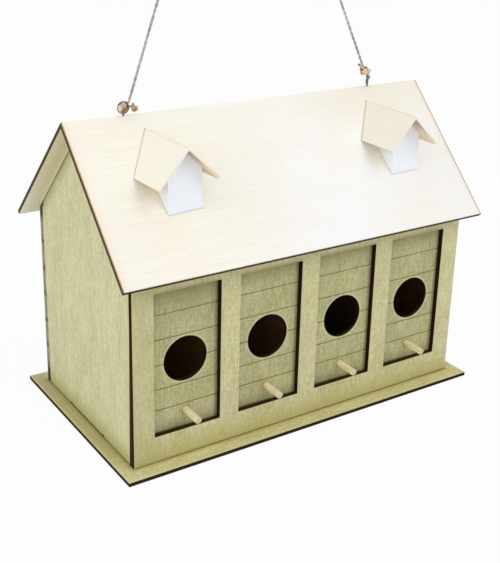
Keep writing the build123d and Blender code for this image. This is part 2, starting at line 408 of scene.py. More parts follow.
def strandRoute(side):
    # the strand's start, a point a little way along it and its end
    values = strands[side]
    lean = radians(values["lean"])
    pull = Vector((sin(lean), 0, cos(lean)))
    start = ringPoint(side, values["start"][0], 0, values["start"][1])
    return start, start + pull * 6 * twine["diameter"], start + pull * values["length"] * mm


def overhand(centre, size, thickness, turn, tilt, opening=0.12):
    # a trefoil left open at one place, as an overhand knot is
    count = 40
    points = []
    spin = Matrix.Rotation(radians(turn), 3, "Z") @ Matrix.Rotation(radians(tilt), 3, "X")
    for i in range(count):
        t = 2 * pi * (opening + (1 - 2 * opening) * i / (count - 1)) + pi / 2
        flat = Vector((sin(t) + 2 * sin(2 * t), cos(t) - 2 * cos(2 * t), 0)) / 3 * size / 2
        points.append(Vector(centre) + spin @ (flat + Vector((0, 0, -sin(3 * t) * thickness / 2))))
    return points


def coil(centre, wide, narrow, turns, start, depth):
    # a flat coil facing the front, wound inwards, in millimetres from the ring's middle
    count = int(turns * twine["coilSteps"])
    points = []
    for i in range(count + 1):
        share = i / count
        angle = radians(start) + 2 * pi * turns * share
        reach = wide + (narrow - wide) * share
        points.append((centre[0] + reach * cos(angle), centre[1] - depth * share,
                       centre[2] + reach * sin(angle)))
    return points


def barrelTurns(foot, top, radius, turns, start, belly):
    # turns of twine wound round the standing part, in millimetres from the ring's middle
    foot, top = Vector(foot), Vector(top)
    axis = (top - foot).normalized()
    side = axis.cross(Vector((0, 1, 0))).normalized()
    other = axis.cross(side)
    count = int(turns * twine["barrelSteps"])
    points = []
    for i in range(count + 1):
        share = i / count
        angle = 2 * pi * turns * share + start
        reach = radius * (1 - belly + belly * sin(pi * share))
        points.append(foot + (top - foot) * share + reach * (cos(angle) * side + sin(angle) * other))
    return points


# Runs of twine in each knot: how thick each one is, and its places from the middle of the ring
knotRuns = {
    "left": [
        (1.25, [(4.6, 0.0, 3.9), (4.0, 0.9, 3.0), (2.9, 1.6, 2.2), (1.6, 0.9, 2.0), (0.5, -0.4, 2.5)]
              + coil((-1.1, -1.5, -0.4), 3.2, 0.8, 2.4, 70, 1.2)),
        (1.0, [(1.0, -1.0, -0.8), (2.1, 0.4, -0.4), (3.4, 1.7, 0.0), (5.0, 1.5, 0.2), (6.4, 0.7, 0.0)]),
        (1.1, [(6.4, 0.7, 0.0), (7.0, 0.4, 0.3)] + coil((9.0, -0.2, -1.3), 2.0, 0.5, 1.8, 120, 1.0)),
        (1.05, [(8.3, 0.2, -0.3), (7.9, -0.3, 0.7), (7.6, -0.5, 1.7), (7.5, -0.5, 2.6)]),
    ],
    "right": [
        (1.0, [(-4.9, 0.0, 9.9), (-4.3, 0.0, 8.6), (-3.7, 0.2, 7.2), (-3.0, 0.3, 5.5), (-2.2, 0.2, 4.4)]),
        (0.62, [(-2.0, -1.2, 5.2), (-0.9, -1.5, 4.4), (0.3, -1.5, 3.1), (1.5, -1.1, 1.7), (2.1, -0.3, 0.8),
                (1.9, 0.9, 1.2), (1.2, 1.9, 2.6), (0.2, 2.0, 4.0), (-1.0, 1.2, 5.2)]),
        (0.5, [(-2.2, -1.5, 4.9), (-1.0, -1.8, 4.1), (-0.2, -1.7, 4.8), (0.7, -1.4, 6.2), (1.5, -1.2, 7.5),
               (2.0, -1.2, 8.3)]),
        (1.1, [(-4.3, -1.9, 7.6), (-5.6, -2.1, 9.2), (-7.5, -2.1, 10.8), (-9.6, -2.0, 12.4),
               (-11.8, -2.0, 13.6)]),
        (1.2, barrelTurns((-2.7, 0.1, 4.7), (-4.4, 0.0, 9.7), 2.8, 2.6, 2.2, 0.14)),
    ],
}
knotSeeds = {"left": 21, "right": 31}


def makeKnot(side):
    name = f"knot{side.capitalize()}"
    pieces = []
    for number, (thickness, run) in enumerate(knotRuns[side]):
        line = readRoute([ringPoint(side, *place) for place in run], order=4, fineness=10)
        pieces.append(twistTwine(f"{name}Run{number}", line, twine, knotSeeds[side] + number, thickness))
    mesh = joinMeshes(name, pieces)
    for piece in pieces:
        old = piece.data
        bpy.data.objects.remove(piece)
        bpy.data.meshes.remove(old)
    return newPiece(name, mesh)


def makeEndKnot(side, end, pull):
    middle = (end + pull * endKnot["middle"] * mm) / mm
    shape = overhand(middle, *(endKnot[key] for key in ("size", "thickness", "turn", "tilt")))
    points = [end] + [point * mm for point in shape] + [end + pull * endKnot["tail"] * mm]
    line = readRoute(points, order=4, fineness=6)
    return twistTwine(f"endKnot{side.capitalize()}", line, twine, endKnot["seed"], endKnot["squeeze"])


knots = {side: makeKnot(side) for side in eyes}
cords = {}
for side, values in strands.items():
    start, along, end = strandRoute(side)
    line = readRoute([start, along, end])
    cord = twistTwine(f"twine{side.capitalize()}", line, twine, values["seed"])
    made = makeEndKnot(side, end, (end - start).normalized())
    cords[side] = {"cord": cord, "end": made, "line": line, "start": start}
print("twine is wound")

# Screw eyes
eyeLook = {
    "wire": 1.5,
    "outer": 9.6,
    "opening": 25.0,             # degrees that the wire leaves open
    "stem": 6.0,
    "stemSteps": 8,
    "sides": 20,
    "steps": 72,
    "rounding": ((0.55, 0.32), (0.85, 0.18)),    # share of the wire's width, and wires past its end
}


def makeScrewEye(side):
    # the wire runs up its stem and round nearly a full turn, in one tube with rounded ends
    radius = (eyeLook["outer"] - eyeLook["wire"]) / 2
    turn = radians(eyes[side]["turn"])
    right = Vector((cos(turn), sin(turn), 0))
    centre = Vector(eyes[side]["centre"])
    count, steps = eyeLook["stemSteps"], eyeLook["steps"]
    line = [centre + Vector((0, 0, -radius - eyeLook["stem"] * (1 - i / count))) for i in range(count)]
    arc = radians(360 - eyeLook["opening"])
    for i in range(steps + 1):
        angle = -pi / 2 + arc * i / steps
        line.append(centre + radius * (cos(angle) * right + Vector((0, 0, sin(angle)))))
    points = np.array([tuple(p) for p in line]) * mm
    bend = np.array(right.cross(Vector((0, 0, 1))))
    heading = headings(points)
    outward = np.cross(heading, bend)
    wire = eyeLook["wire"] / 2 * mm
    sections = [(0, share, -push) for share, push in eyeLook["rounding"]]
    sections += [(i, 1.0, 0.0) for i in range(len(points))]
    sections += [(-1, share, push) for share, push in reversed(eyeLook["rounding"])]
    bm = bmesh.new()
    rings = []
    for i, share, push in sections:
        middle = points[i] + heading[i] * push * 2 * wire
        angles = [2 * pi * s / eyeLook["sides"] for s in range(eyeLook["sides"])]
        rings.append([
            bm.verts.new(middle + share * wire * (cos(a) * outward[i] + sin(a) * bend)) for a in angles])
    for low, high in zip(rings, rings[1:]):
        for s in range(len(low)):
            after = (s + 1) % len(low)
            bm.faces.new((low[s], low[after], high[after], high[s])).smooth = True
    bm.faces.new(rings[0])
    bm.faces.new(rings[-1])
    bmesh.ops.recalc_face_normals(bm, faces=bm.faces)
    return newPiece(f"screwEye{side.capitalize()}", meshFrom(bm, "screwEye"))


screwEyes = {side: makeScrewEye(side) for side in eyes}
print("screw eyes are bent")


# Shader groups that several finishes share
def newGroup(name, inputs, outputs, build):
    # inputs come with the value that they start at, or None; outputs are masks and heights
    group = bpy.data.node_groups.new(name, "ShaderNodeTree")
    for label, start in inputs.items():
        kind = "NodeSocketFloat" if isinstance(start, float) else "NodeSocketVector"
        socket = group.interface.new_socket(label, in_out="INPUT", socket_type=kind)
        if start is not None:
            socket.default_value = start
    for label in outputs:
        group.interface.new_socket(label, in_out="OUTPUT", socket_type="NodeSocketFloat")
    given = outputsOf(group, group.nodes.new("NodeGroupInput"))
    addNode(group, "NodeGroupOutput", build(given))
    return group


def buildGrain(given):
    place = split(given["Vector"])
    stretched = result(given["Vector"].tree, "ShaderNodeCombineXYZ", (
        place.x / given["Streak Length"], place.y / given["Streak Width"], place.z / given["Streak Width"]))
    streaks = noise(stretched, 1.0, 3.0, 0.6)
    bands = noise(vectorCalc("MULTIPLY", stretched, (0.35, 0.07, 0.07)), 1.0)
    mottle = noise(given["Vector"], 1.0 / given["Mottle Size"], 3.0, 0.65)
    pores = step(noise(vectorCalc("MULTIPLY", stretched, (5.0, 1.4, 1.4)), 1.0, 1.0, 0.4), 0.63, 0.74)
    return streaks, bands, mottle, pores, streaks - pores * 0.6 + mottle * 0.5


def buildCutEdge(given):
    # 1 on the faces that were cut across the sheet, with the plies through its thickness
    facing = abs(vectorCalc("DOT_PRODUCT", given["Normal"], given["Sheet Normal"]))
    through = vectorCalc("DOT_PRODUCT", given["Vector"], given["Sheet Normal"])
    plies = calc("COSINE", through / given["Thickness"] * (6 * pi)) * 0.5 + 0.5
    return step(facing, 0.55, 0.35), plies, noise(given["Vector"], 900.0, 3.0, 0.6)


def buildScorch(given):
    # a brown halo beside a cut, by the distance from it, with a ragged border
    ragged = given["Reach"] * (noise(given["Vector"], 700.0, 3.0, 0.6) * 1.2 + 0.4)
    return (step(given["Distance"], ragged, 0.0),)


def buildBorder(given):
    # how far inside a rectangle a place is, the rectangle lying flat round the vector's zero
    place = split(given["Vector"])
    return (calc("MINIMUM", given["Half Length"] - abs(place.x), given["Half Width"] - abs(place.y)),)


groups = {
    "grain": newGroup(
        "woodGrain",
        {"Vector": None, "Streak Length": 0.03, "Streak Width": 0.0006, "Mottle Size": 0.0014},
        ("Streaks", "Bands", "Mottle", "Pores", "Height"), buildGrain),
    "cutEdge": newGroup(
        "cutEdge", {"Vector": None, "Normal": None, "Sheet Normal": (0, 0, 1), "Thickness": 0.003},
        ("Edge", "Plies", "Soot"), buildCutEdge),
    "scorch": newGroup("scorch", {"Distance": 0.0, "Vector": None, "Reach": 0.001}, ("Mask",), buildScorch),
    "border": newGroup(
        "sheetBorder", {"Vector": None, "Half Length": 0.1, "Half Width": 0.05},
        ("Distance",), buildBorder),
}


def useGroup(name, **values):
    tree = treeOf(values.values())
    node = addNode(tree, "ShaderNodeGroup", node_tree=groups[name])
    for label, value in values.items():
        words = "".join(" " + letter if letter.isupper() else letter for letter in label)
        feed(node.inputs[words.title()], value)
    return outputsOf(tree, node)


def newMaterial(name, roughness=0.6, specular=0.35):
    # the material, its shader's inputs and its coordinates
    material = bpy.data.materials.new(name)
    material.use_nodes = True
    tree = material.node_tree
    shader = tree.nodes["Principled BSDF"].inputs
    shader["Roughness"].default_value = roughness
    shader["Specular IOR Level"].default_value = specular
    return material, shader, outputsOf(tree, tree.nodes.new("ShaderNodeTexCoord"))


def turnPlace(vector, turn, centre=(0, 0, 0)):
    # moves the centre to zero, then turns the pattern's own axes onto the sheet
    inputs = {"Vector": vectorCalc("SUBTRACT", vector, centre), "Rotation": turn}
    return result(vector.tree, "ShaderNodeMapping", inputs, vector_type="POINT")


def addBump(shader, height, strength, distance):
    inputs = {"Strength": strength, "Distance": distance, "Height": height}
    feed(shader["Normal"], result(height.tree, "ShaderNodeBump", inputs))


# Painted plywood: thin green stain over fine grain, with burnt edges. Here and below, a number
# before a colour is the strength that tint() lays it with
paint = {
    "char": (32, 22, 6),
    "charPale": (88, 62, 28),
    "sillChar": (56, 42, 16),
    "baseChar": (54, 48, 28),
    "parting": (0.8, (80, 54, 20)),
    "olive": (122, 112, 46),
    "pores": (0.2, (122, 112, 46)),
    "bare": (226, 194, 146),
    # the right gable's inside, laid darker as painted shade
    "bareInShade": (150, 106, 66),
    "bareStrip": (214, 207, 170),
    "endStain": (0.85, (212, 200, 164)),
    "clouds": (0.12, (208, 194, 164)),
    "frameClouds": (0.32, (208, 194, 164)),
    "cloudScale": 42.0,
    "grain": {"streakLength": 0.016, "streakWidth": 0.0013, "mottleSize": 0.0024},
}
# Each sheet's stain where it is light and dark, its stain near the foot, and its normal
# the gables' stain is laid lighter and paler than the other sheets', partly a painted sheen
gableStainAndSheen = {
    "light": (224, 222, 182), "dark": (188, 187, 138), "foot": (180, 176, 116), "normal": (1, 0, 0)}
sheets = {
    "gable_left": gableStainAndSheen,
    "gable_right": gableStainAndSheen,
    "rear_panel": {
        "light": (220, 216, 172), "dark": (180, 177, 126), "foot": (184, 178, 122), "normal": (0, 1, 0)},
    "front_panel": {
        "light": (202, 198, 152), "dark": (156, 153, 104), "foot": (172, 166, 112), "normal": (0, 1, 0)},
    "front_frame": {
        "light": (220, 216, 172), "dark": (180, 175, 122), "foot": (190, 182, 114), "normal": (0, 1, 0)},
    "base_plate": {"light": (230, 223, 170), "dark": (192, 185, 124), "foot": None, "normal": (0, 0, 1)},
}
corner = {
    "burnAtFoot": 6.9 * mm,      # dark width of the front corners' edges
    "burnAbove": 4.3 * mm,
    "burnHeight": 105 * mm,
    "stripWidth": 6.0 * mm,      # stained strip over the rear corners' finger joints
    "stripMore": 2.4 * mm,       # wider at the top by this, from the first depth to the second
    "stripWidens": (5 * mm, 2 * mm),
    "stripColours": ((126, 122, 94), (162, 159, 136)),
    "stripEnds": (0.85, (44, 38, 18)),
    "darkTop": (20 * mm, 8 * mm),
    "darkFoot": (24 * mm, 7 * mm),
    "stripRim": (0.6, (84, 78, 58)),
    "bareStrip": 4.0 * mm,       # unstained top of the gables
    "fingerFoot": 10.6 * mm,
    "fingerHeight": 22.75 * mm,
}
# Layers of stain and of painted shade, as each name or note says: the millimetres where one starts and is
# full, its strength and its colour
seams = {
    "wall": (1.6, 0.3, 0.75, paint["olive"]),
    "joint": (3.2, 0.6, 0.7, (76, 70, 42)),
}
panelStainsAndShades = {
    # under the top rail: a darker line, then painted shade under the rail and the eave, deeper over the
    # first bay
    "header": (-2.2, -0.4, 0.5, (104, 94, 52)),
    "shade": (-16, 0, 0.6, (142, 138, 94)),
    "firstBayShade": (-36, -8, 0.3, (138, 134, 88)),
    "scored": (0.1, 0.3, 0.9, (166, 160, 90)),
    "holeHalo": (2.1, 0.8, 0.72, (206, 199, 166)),
    "holeRim": (0.45, 0.05, 0.9, (64, 50, 20)),
    "perchHalo": (3.4, 0.2, 0.5, (172, 152, 112)),
    "perchRim": (0.5, 0.1, 0.7, (96, 72, 36)),
    # painted shade beside the right jamb and above the sill, each with a dark band along the frame
    "jambShade": (4.4, 0.6, 0.6, (88, 82, 52)),
    "jambDarkBand": (0.5, -0.1, 0.95, (26, 16, 6)),
    "sillShade": (13, 1, 0.36, (104, 98, 62)),
    "sillDarkBand": (0.9, -0.2, 0.85, (58, 46, 18)),
}
# Widths of the dark band beside the jamb at its foot, what it gains upwards, and over the sill
darkBandWidths = {"jamb": 0.1 * mm, "jambMore": 0.6 * mm, "sill": 1.0 * mm}
frameStainsAndShades = {
    "besideBay": (1.7, 1.0, 0.6, (200, 186, 158)),
    "ends": (-1.6, -0.8, 0.55, (206, 190, 160)),
    "header": (1, -1, 0.5, (160, 142, 104)),
    "leftStile": (-118, -132, 0.3, (180, 172, 124)),
    # painted shade along the frame's top, under the eave
    "top": (-12, -1, 0.88, (130, 121, 79)),
}
baseStainsAndShades = {
    "leftShade": (1, -3, 0.42, (168, 160, 98)),
    "weathered": (2, -4, 0.7, (188, 184, 144)),
    "worn": (3.4, 0.4, 1.1, (222, 214, 178)),
    "seamShade": (5, 0.5, 0.45, (158, 150, 78)),
    "seam": (1.1, 0.2, 0.75, paint["olive"]),
}
gableStainsAndShades = {
    # painted shade under the roof boards and a painted shadow line at the bare strip's border
    "underRoofShade": (12, 1, 0.55, (154, 150, 94)),
    "border": (3.2, 0.4, 0.72, (98, 92, 44)),
    "front": (4.6, 3.6, 0.5, (206, 188, 156)),
    "tab": (1.7, 0.8, 0.75, (60, 52, 18)),
    "tabEnd": (3.0, 1.2, 0.8, (40, 34, 16)),
}


def outerFace(spot):
    return step(abs(spot.x), wallHalf - 0.5 * mm, wallHalf - 0.3 * mm)


def fromBareStrip(spot):
    # how far below the unstained strip under the roof boards a place is
    under = gableBox[1].z - (abs(spot.y - ridgeY) + spot.z)
    return under * cos(house["roofPitch"]) - corner["bareStrip"]


def bayPlace(spot):
    # how far right of the middle of its own bay a place is
    return (spot.x + 2 * house["bayPitch"]) % house["bayPitch"] - house["bayPitch"] / 2


def insideBorder(place, halfLength, front, back):
    centred = vectorCalc("SUBTRACT", place, (0, (front + back) / 2, 0))
    halfWidth = (back - front) / 2
    return useGroup("border", vector=centred, halfLength=halfLength, halfWidth=halfWidth)["Distance"]


def frontCorner(spot, edge, burnt):
    # the burnt part of the outer edges narrows upwards, and a browner line parts the two sheets
    outer = outerFace(spot)
    taper = calc("SUBTRACT", 1.0, (spot.z - baseTop) / corner["burnHeight"], clamp=True)
    width = taper * (corner["burnAtFoot"] - corner["burnAbove"]) + corner["burnAbove"]
    stained = step(spot.y - (width + frameFront), -0.1 * mm, 0.4 * mm) * outer
    parting = outer * near(spot.y, wallFront, 0.3 * mm, 0.7 * mm)
    return edge * (1.0 - stained), tint(burnt, parting, *paint["parting"]), stained


def rearCorner(colour, spot, place):
    # a stained strip along the finger joints, darker at each joint and at both ends
    outer = outerFace(spot)
    toTop = wallTop - spot.z
    border = step(toTop, *corner["stripWidens"]) * -corner["stripMore"] + (wallBack - corner["stripWidth"])
    ragged = noise(place, 500.0) * (1.2 * mm) - 0.6 * mm
    strip = outer * step(spot.y + ragged - border, 0.0, 0.8 * mm)
    cloud = step(noise(place, 300.0, 3.0, 0.6), 0.3, 0.7)
    colour = mixColour(strip, colour, mixColour(cloud, *corner["stripColours"]))
    finger = corner["fingerHeight"]
    overJoint = (spot.z - (baseTop + corner["fingerFoot"]) + finger) % finger
    colour = colourLayer(colour, seams["joint"], calc("MINIMUM", overJoint, finger - overJoint), strip)
    ends = calc("MAXIMUM", step(toTop, *corner["darkTop"]), step(spot.z - baseTop, *corner["darkFoot"]))
    colour = tint(colour, strip * ends, *corner["stripEnds"])
    rim = outer * step(spot.y, wallBack - 0.9 * mm, wallBack - 0.4 * mm)
    return tint(colour, rim, *corner["stripRim"])


def bareStrip(colour, spot):
    # the stain stops short of the roof boards
    strip = outerFace(spot) * step(fromBareStrip(spot), 0.4 * mm, -0.4 * mm)
    return mixColour(strip, colour, paint["bareStrip"])


def panelLines(colour, place, spot, facing):
    inBay = bayPlace(spot)
    toTop = spot.z - bayTop
    front = step(spot.y, wallFront + 1.0 * mm, wallFront + 0.9 * mm)
    inFirstBay = step(spot.x, -74 * mm, -78 * mm)
    colour = colourLayers(colour, panelStainsAndShades, ("header", toTop), ("shade", toTop),
                    ("firstBayShade", toTop, inFirstBay), ("scored", spot.y - wallFront, front))
    for hole in ("hole", "perch"):
        beyond = hypotenuse(inBay, spot.z - house[f"{hole}Height"]) - house[f"{hole}Radius"]
        colour = colourLayers(colour, panelStainsAndShades, (f"{hole}Halo", beyond), (f"{hole}Rim", beyond))
    # painted shade and a dark band beside the right jamb, the band wider at the top, and the same above the
    # sill, the band wider at the left
    fromJamb = halfBay - inBay
    aboveSill = spot.z - house["bayFoot"]
    jamb = aboveSill / house["bayHeight"] * darkBandWidths["jambMore"] + darkBandWidths["jamb"]
    sill = fromJamb / house["bayWidth"] * darkBandWidths["sill"]
    return colourLayers(colour, panelStainsAndShades, ("jambShade", fromJamb), ("jambDarkBand", fromJamb - jamb),
                  ("sillShade", aboveSill), ("sillDarkBand", aboveSill - sill))


def frameLines(colour, place, spot, facing):
    inBay = bayPlace(spot)
    outward = step(facing.y, -0.4, -0.6)
    beside = inBay - halfBay
    onFrame = step(beside, -0.1 * mm, 0.1 * mm)
    overSill = step(spot.z - house["bayFoot"], -0.5 * mm, 0.5 * mm)
    underTop = step(spot.z - bayTop, 0.5 * mm, -0.5 * mm)
    overBay = near(spot.z, bayTop + 0.6 * mm, 0.5 * mm, 1.6 * mm)
    return colourLayers(colour, frameStainsAndShades, ("besideBay", beside, outward, overSill, underTop, onFrame),
                  ("ends", abs(spot.x) - wallHalf, outward),
                  ("header", abs(inBay) - halfBay, outward, overBay),
                  ("leftStile", spot.x, outward), ("top", spot.z - frameBox[1].z, outward))


def baseLines(colour, place, spot, facing):
    # painted shade beside the walls and left of the left wall, a dark seam along the walls' foot, and paler
    # along the outer edge
    fromWall = insideBorder(place, wallHalf, frameFront, wallBack) * -1.0
    fromRim = insideBorder(place, baseBox[1].x, baseBox[0].y, baseBox[1].y)
    leftOfWall = spot.x + wallHalf
    behindFront = step(spot.y, frameFront - 2 * mm, frameFront + 40 * mm)
    atBack = step(spot.y, 30 * mm, 74 * mm)
    return colourLayers(colour, baseStainsAndShades, ("leftShade", leftOfWall, behindFront),
                  ("weathered", leftOfWall, atBack), ("worn", fromRim, noise(place, 120.0, 3.0, 0.6)),
                  ("seamShade", fromWall), ("seam", fromWall))


def gableLines(colour, place, spot, facing):
    # painted shade under the roof boards with a painted shadow line along the border of the bare strip, and
    # the stain gathers round the tab in the base
    below, aside, rise = fromBareStrip(spot), abs(spot.y - ridgeY), spot.z - baseTop
    halfTab = house["tabWidth"] / 2
    overTab = step(aside - halfTab, 0.5 * mm, -0.5 * mm)
    return colourLayers(colour, gableStainsAndShades, ("underRoofShade", below), ("border", below),
                  ("front", spot.y - wallFront), ("tab", rise, overTab),
                  ("tabEnd", rise, near(aside, halfTab, 0.9 * mm, 1.2 * mm)))


linesOf = {"front_panel": panelLines, "front_frame": frameLines, "base_plate": baseLines,
           "gable_left": gableLines, "gable_right": gableLines}


def paintedPly(node):
    values = sheets[node]
    material, shader, coords = newMaterial(f"paintedPly_{node}", 0.72, 0.25)
    place, normal = coords["Object"], coords["Normal"]
    spot, facing = split(place), split(normal)
    upright = values["foot"] is not None
    turned = turnPlace(place, (0, radians(90), 0) if upright else (0, 0, 0))
    grain = useGroup("grain", vector=turned, **paint["grain"])
    fine = step(grain["Streaks"], 0.36, 0.64) * 0.38 + step(grain["Mottle"], 0.36, 0.64) * 0.4
    tone = step(grain["Bands"], 0.35, 0.65) * 0.22 + fine
    colour = mixColour(tone, values["dark"], values["light"])
    cloudy = step(noise(place, paint["cloudScale"]), 0.45, 0.7)
    colour = tint(colour, cloudy, *paint["frameClouds" if node == "front_frame" else "clouds"])
    colour = tint(colour, grain["Pores"], *paint["pores"])
    if upright:
        colour = colourLayer(colour, (20, 2, 0.7, values["foot"]), spot.z - baseTop)
        colour = colourLayer(colour, seams["wall"], spot.z - baseTop)
    if node in linesOf:
        colour = linesOf[node](colour, place, spot, facing)
    cut = useGroup("cutEdge", vector=place, normal=normal, sheetNormal=values["normal"])
    edge = cut["Edge"]
    burnt = mixColour(cut["Soot"] * (cut["Plies"] * 0.5), paint["char"], paint["charPale"])
    burnt = mixColour(step(facing.z, 0.5, 0.9), burnt, paint["sillChar"])
    if node == "base_plate":
        burnt = mixColour(0.6, burnt, paint["baseChar"])
    if node in ("front_panel", "front_frame"):
        edge, burnt, stained = frontCorner(spot, edge, burnt)
        colour = tint(colour, stained, *paint["endStain"])
    colour = mixColour(edge, colour, burnt)
    if node in ("gable_left", "gable_right", "rear_panel"):
        colour = bareStrip(rearCorner(colour, spot, place), spot)
    inside = times(1.0 - cut["Edge"], step(abs(spot.x), wallHalf - 1.4 * mm, wallHalf - 1.6 * mm),
                   step(spot.y, wallFront + 1.4 * mm, wallFront + 1.6 * mm),
                   step(spot.y, wallBack - 1.4 * mm, wallBack - 1.6 * mm))
    # the right gable's inside, seen through the fourth hole, is laid darker: painted shade
    bare = paint["bareInShade" if node == "gable_right" else "bare"]
    colour = mixColour(inside, colour, mixColour(tone, darker(bare, 0.7), bare))
    feed(shader["Base Color"], colour)
    feed(shader["Specular IOR Level"], edge * -0.22 + 0.25)
    feed(shader["Roughness"], edge * 0.15 + (tone * 0.12 + 0.64))
    addBump(shader, grain["Height"], 0.35, 0.0003)
    return material


# Roof boards: bare pale plywood, a little uneven in colour along the slope
roof = {
    "tones": ((246, 241, 224), (251, 249, 239)),
    "grain": {"streakLength": 0.05, "streakWidth": 0.0018, "mottleSize": 0.004},
    "paler": (0.66, (249, 249, 250)),
    "whiter": (60, 118, 0.5, (249, 250, 255)),
    "greyer": (60, 130, 0.4, (240, 238, 234)),
    "nearRidge": (50, 8, 0.7, (240, 234, 216)),
    "patches": (0.25, (250, 238, 222)),
    "bands": (0.18, (240, 234, 214)),
    "pores": (0.12, (206, 176, 128)),
    "ends": (7, 0.5, 0.5, (250, 226, 200)),
    "endReach": 1.5 * mm,
    "eaveReach": 1.0 * mm,
    "endHalo": (0.9, (112, 84, 50)),
    "eaveHalo": (0.9, (74, 56, 26)),
    "eaveChar": (56, 43, 10),
    "char": {"roof_front": ((72, 50, 26), (124, 86, 54)), "roof_rear": ((60, 50, 36), (112, 94, 72))},
}
# The warm shade on the roof beside each dormer, under its left eave: an oval that leans
glow = {
    "feet": {"left": -95.6 * mm, "right": 105.2 * mm},
    "strength": {"left": 0.6, "right": 0.5},
    "left": 25 * mm,             # of the dormer's foot
    "down": 45 * mm,             # from the ridge, along the slope
    "turn": radians(18),
    "halfWidth": 10 * mm,
    "halfLength": 26 * mm,
    "middle": 19 * mm,
    "colour": (255, 242, 204),
}
# The underside: painted shade with the green gables' painted reflected light, darker and greener towards
# the gables and up the slope, and bare inside the box
under = {
    "inner": ((238, 234, 212), (220, 211, 174)),     # low and high on the slope
    "outer": ((250, 248, 238), (234, 220, 194)),
    "streaks": (0.15, (236, 230, 206)),
}


def dormerGlow(colour, across, down):
    lean = cos(glow["turn"]), sin(glow["turn"])
    for side, foot in glow["feet"].items():
        x, s = across - (foot - glow["left"]), down - glow["down"]
        beside, along = x * lean[0] - s * lean[1], x * lean[1] + s * lean[0]
        reach = hypotenuse(beside / glow["halfWidth"], (along - glow["middle"]) / glow["halfLength"])
        colour = tint(colour, step(reach, 1.0, 0.1), glow["strength"][side], glow["colour"])
    return colour


def soffit(colour, place, facing):
    # painted shade and painted green reflected light on the underside, by height and by distance from the
    # gable
    spot = split(place)
    outward = abs(spot.x) - wallHalf
    height = step(spot.z, 130 * mm, 200 * mm)
    inner, outer = mixColour(height, *under["inner"]), mixColour(height, *under["outer"])
    worn = mixColour(step(outward, 2 * mm, 11 * mm), inner, outer)
    within = times(step(spot.y - wallBack, 0.5 * mm, -0.5 * mm),
                   step(spot.y - frameFront, -0.5 * mm, 0.5 * mm),
                   step(outward, -0.5 * mm, -1.5 * mm))
    worn = mixColour(within, worn, paint["bare"])
    streaky = step(noise(vectorCalc("MULTIPLY", place, (1.0, 0.2, 0.2)), 700.0, 3.0, 0.6), 0.3, 0.7)
    worn = tint(worn, streaky, *under["streaks"])
    return mixColour(step(facing.z, -0.3, -0.4), colour, worn)


def roofPly(node, slopeSign):
    material, shader, coords = newMaterial(f"roofPly_{node}", 0.6, 0.3)
    place, normal = coords["Object"], coords["Normal"]
    facing = split(normal)
    pitch = house["roofPitch"]
    onSheet = turnPlace(place, (pitch * slopeSign, 0, 0), (0, ridgeY, ridgeZ))
    spot = split(onSheet)
    down = spot.z * -1.0
    grain = useGroup("grain", vector=onSheet, **roof["grain"])
    colour = mixColour(step(grain["Streaks"], 0.3, 0.7), *roof["tones"])
    right = step(spot.x, -90 * mm, 10 * mm)
    colour = tint(colour, right, *roof["paler"])
    colour = colourLayer(colour, roof["whiter"], down, right)
    colour = colourLayer(colour, roof["greyer"], spot.x)
    colour = colourLayer(colour, roof["nearRidge"], down, step(spot.x, 0.0, 80 * mm))
    patches = step(noise(onSheet, 16.0, 3.0, 0.55), 0.42, 0.66)
    colour = tint(colour, patches, *roof["patches"])
    colour = tint(colour, step(grain["Bands"], 0.35, 0.65), *roof["bands"])
    colour = tint(colour, grain["Pores"], *roof["pores"])
    if slopeSign > 0:
        colour = dormerGlow(colour, spot.x, down)
    fromEnd = (roofBox[1].x - roofBox[0].x) / 2 - abs(spot.x)
    colour = colourLayer(colour, roof["ends"], fromEnd)
    halo = useGroup("scorch", distance=fromEnd, vector=place, reach=roof["endReach"])
    colour = tint(colour, halo["Mask"], *roof["endHalo"])
    lip = useGroup("scorch", distance=house["roofSlope"] - down, vector=place, reach=roof["eaveReach"])
    colour = tint(colour, lip["Mask"], *roof["eaveHalo"])
    colour = soffit(colour, place, facing)
    sheetNormal = (0, -sin(pitch) * slopeSign, cos(pitch))
    cut = useGroup("cutEdge", vector=place, normal=normal, sheetNormal=sheetNormal)
    burnt = mixColour(cut["Soot"] * cut["Plies"], *roof["char"][node])
    burnt = mixColour(step(abs(facing.x), 0.5, 0.4), burnt, roof["eaveChar"])
    feed(shader["Base Color"], mixColour(cut["Edge"], colour, burnt))
    feed(shader["Specular IOR Level"], cut["Edge"] * -0.27 + 0.3)
    addBump(shader, grain["Height"], 0.2, 0.0002)
    return material


def plainWood(name, light, dark, turn, streakLength=0.02, streakWidth=0.0008, endGrain=None):
    material, shader, coords = newMaterial(name, 0.65, 0.3)
    grain = useGroup("grain", vector=turnPlace(coords["Object"], turn), streakLength=streakLength,
                     streakWidth=streakWidth, mottleSize=0.002)
    tone = step(grain["Streaks"], 0.3, 0.7) * 0.65 + step(grain["Mottle"], 0.3, 0.7) * 0.35
    colour = mixColour(grain["Pores"] * 0.3, mixColour(tone, dark, light), dark)
    if endGrain:
        ends = step(abs(split(coords["Normal"]).y), 0.7, 0.9)
        fleck = step(noise(coords["Object"], 1500.0, 2.0, 0.6), 0.3, 0.7)
        colour = mixColour(ends, colour, mixColour(fleck, darker(endGrain, 0.72), endGrain))
    feed(shader["Base Color"], colour)
    addBump(shader, grain["Height"], 0.3, 0.0002)
    return material


